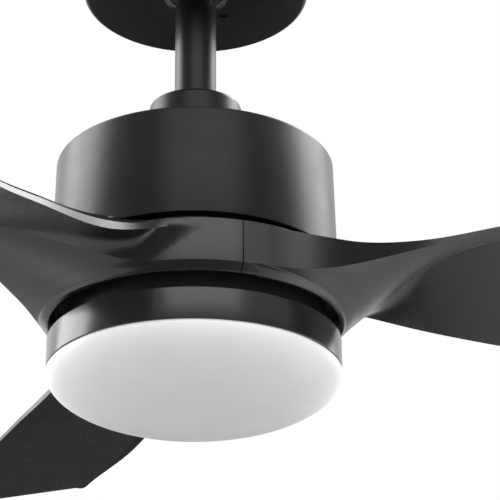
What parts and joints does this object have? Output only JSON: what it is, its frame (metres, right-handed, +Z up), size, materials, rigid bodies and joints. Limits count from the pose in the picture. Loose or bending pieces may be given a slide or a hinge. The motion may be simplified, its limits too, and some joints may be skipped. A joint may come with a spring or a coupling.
{
  "type": "ceiling fan with light",
  "caption": "Three-bladed ceiling fan on a short downrod, with a drum motor housing, moulded swept blades and a round opal light below.",
  "frame": {"origin": "centre of the bracket's ceiling face, on the fan's axis", "axes": "+Z up along the fan's axis; the bracket's slots lie along Y; the downrod swings in the X-Z plane"},
  "size_m": [0.8077, 0.7476, 0.3494],
  "materials": {
    "black_paint": "satin black paint on sheet steel",
    "black_plastic": "satin black moulded plastic",
    "inner_black": "dull black paint",
    "zinc_steel": "zinc-plated steel",
    "steel": "bright steel",
    "dark_screw": "black-finished steel",
    "green_screw": "green-finished steel",
    "ball_plastic": "dense nylon",
    "aluminium": "plain aluminium",
    "rotor_metal": "die-cast aluminium",
    "core_steel": "stacked electrical steel",
    "magnet": "ferrite",
    "copper": "enamelled copper wire",
    "cage_brass": "steel balls in a brass cage",
    "board_green": "solder mask",
    "board_white": "white solder mask",
    "white_plastic": "moulded plastic",
    "led_yellow": "phosphor",
    "cable": "insulated cable sheath",
    "opal": "opal acrylic, slightly glossy"
  },
  "bodies": {
    "ceiling_mount": {"canopy": "black_paint", "hanger_bracket": "zinc_steel", "canopy_screws": "dark_screw", "ground_screw": "green_screw"},
    "suspension": {"hanger_ball": "ball_plastic", "ball_pin": "steel", "ball_set_screw": "steel", "downrod": "black_paint", "coupling": "zinc_steel", "clevis_pin": "steel", "clevis_clip": "steel", "coupling_set_screws": "steel", "coupling_screws": "steel", "coupling_cover": "black_paint", "motor_housing": "black_paint", "mount_plate": "zinc_steel", "upper_spacer": "steel", "control_board": "board_green", "board_standoffs": "white_plastic", "board_screws": "steel", "motor_shaft": "steel", "stator_core": "core_steel", "stator_insulators": "white_plastic", "stator_windings": "copper", "upper_bearing_inner": "steel", "lower_bearing_inner": "steel", "lower_spacer": "steel", "neck_shell": "inner_black", "neck_nut": "zinc_steel", "led_driver": "white_plastic", "driver_screws": "steel", "light_ring": "black_paint", "heat_spreader": "aluminium", "ring_screws": "steel", "led_board": "board_white", "leds": "led_yellow", "led_connector": "white_plastic", "led_board_screws": "steel", "led_lead": "cable", "supply_cable": "cable", "supply_connector": "white_plastic"},
    "rotor": {"rotor_upper_shell": "rotor_metal", "rotor_lower_shell": "rotor_metal", "rotor_magnets": "magnet", "rotor_screws": "steel", "upper_bearing_outer": "steel", "lower_bearing_outer": "steel", "blade_hub": "zinc_steel", "hub_screws": "steel", "blade_1": "black_plastic", "blade_2": "black_plastic", "blade_3": "black_plastic", "blade_screws": "dark_screw"},
    "upper_ball_train": {"upper_bearing_balls": "cage_brass"},
    "lower_ball_train": {"lower_bearing_balls": "cage_brass"},
    "lens": {"lens": "opal"}
  },
  "joints": [
    {"name": "downrod_swing", "type": "hinge", "parent": "ceiling_mount", "child": "suspension", "pos_m": [0, 0, -0.0377], "axis": [0, 1, 0], "range_deg": [-12, 12]},
    {"name": "rotor_spin", "type": "hinge", "parent": "suspension", "child": "rotor", "pos_m": [0, 0, -0.2279], "axis": [0, 0, 1], "continuous": true},
    {"name": "upper_bearing_roll", "type": "hinge", "parent": "suspension", "child": "upper_ball_train", "pos_m": [0, 0, -0.2069], "axis": [0, 0, 1], "continuous": true},
    {"name": "lower_bearing_roll", "type": "hinge", "parent": "suspension", "child": "lower_ball_train", "pos_m": [0, 0, -0.2499], "axis": [0, 0, 1], "continuous": true},
    {"name": "lens_twist", "type": "hinge", "parent": "suspension", "child": "lens", "pos_m": [0, 0, -0.3204], "axis": [0, 0, 1], "range_deg": [-35, 0]}
  ],
  "couplings": [
    {"joint": "upper_bearing_roll", "follows": "rotor_spin", "ratio": 0.5855},
    {"joint": "lower_bearing_roll", "follows": "rotor_spin", "ratio": 0.5855}
  ]
}
